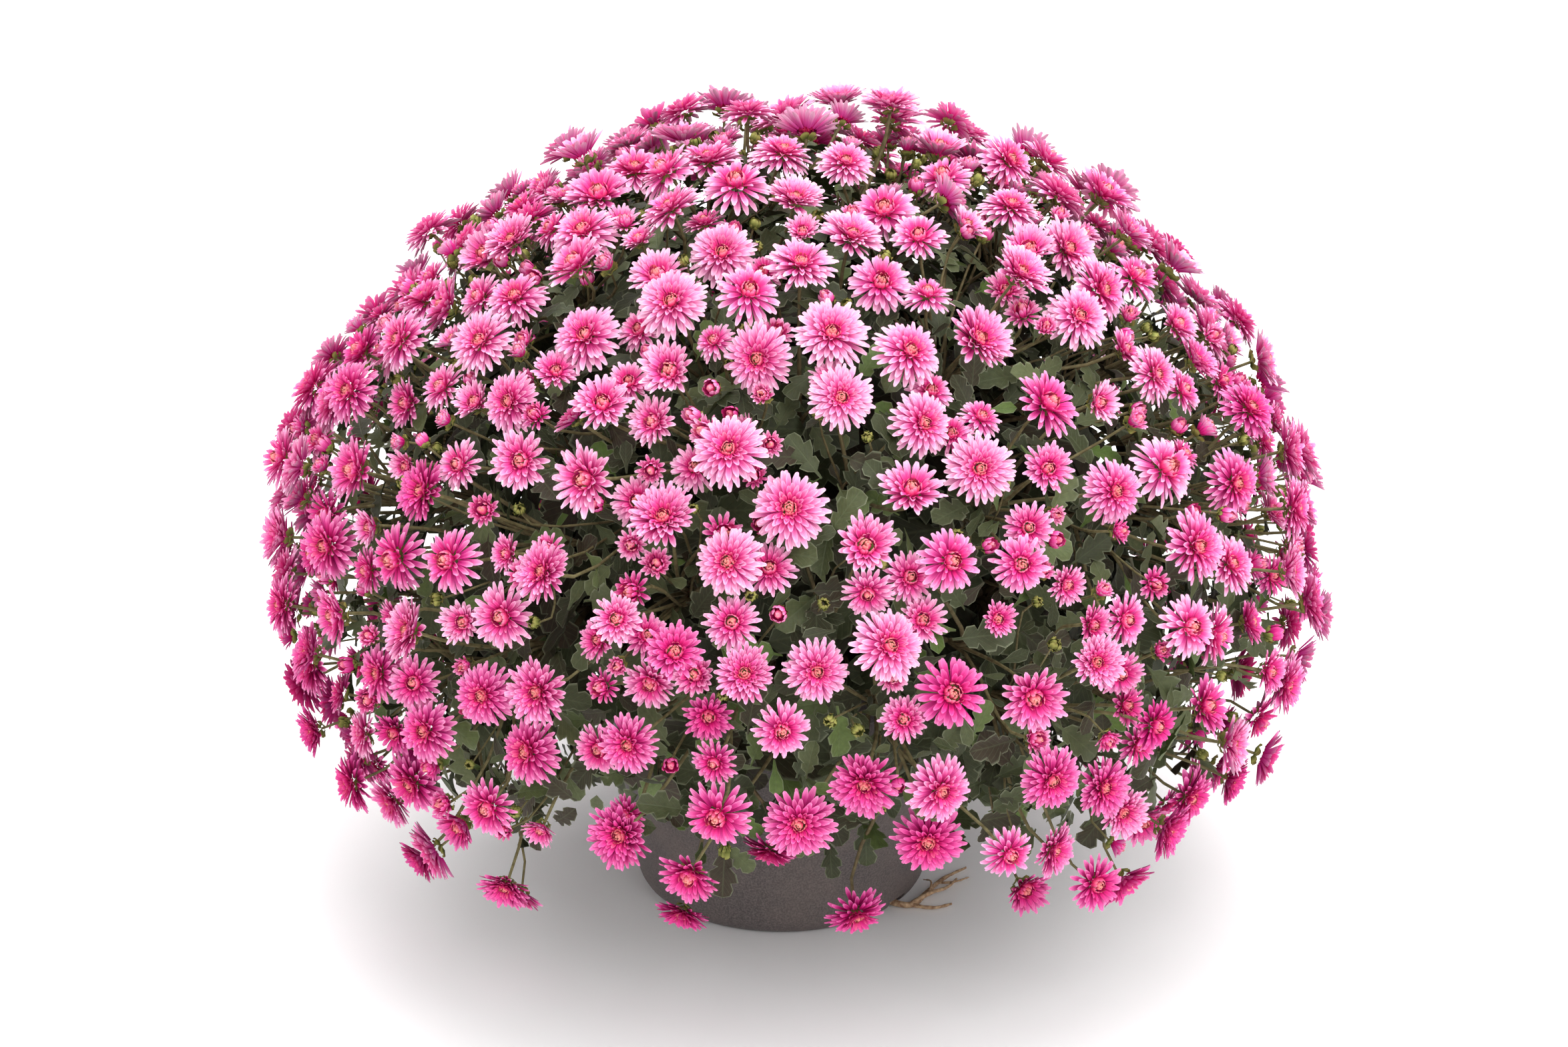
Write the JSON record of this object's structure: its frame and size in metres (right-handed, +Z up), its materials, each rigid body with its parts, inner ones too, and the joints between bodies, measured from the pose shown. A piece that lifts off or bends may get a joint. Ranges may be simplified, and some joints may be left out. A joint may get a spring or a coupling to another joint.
{
  "type": "pot chrysanthemum",
  "caption": "Ball-shaped pot chrysanthemum: pink double blooms and buds over lobed grey-green leaves on leafy stems, in a dark plastic nursery pot with drainage notches.",
  "frame": {"origin": "centre of the flat underside of the pot, on the surface it stands on", "axes": "+Z up along the pot's axis, -Y towards the side the picture shows, +X to the right of it"},
  "size_m": [0.644, 0.6451, 0.5041],
  "materials": {
    "petals": "soft matt petals, pale pink at the tips and magenta at the base",
    "foliage": "felted grey-green leaves and stalks",
    "pot_plastic": "matt moulded nursery-pot plastic with a fine speckle",
    "peat": "crumbly peat soil",
    "root_bark": "dry fibrous root bark"
  },
  "bodies": {
    "root": {"flowering_stem_01": "petals", "flowering_stem_02": "petals", "flowering_stem_03": "petals", "flowering_stem_04": "petals", "flowering_stem_05": "petals", "flowering_stem_06": "petals", "flowering_stem_07": "petals", "flowering_stem_08": "petals", "flowering_stem_09": "petals", "flowering_stem_10": "petals", "flowering_stem_11": "petals", "flowering_stem_12": "petals", "flowering_stem_13": "petals", "pot": "pot_plastic", "soil": "peat", "roots": "root_bark"}
  },
  "joints": []
}
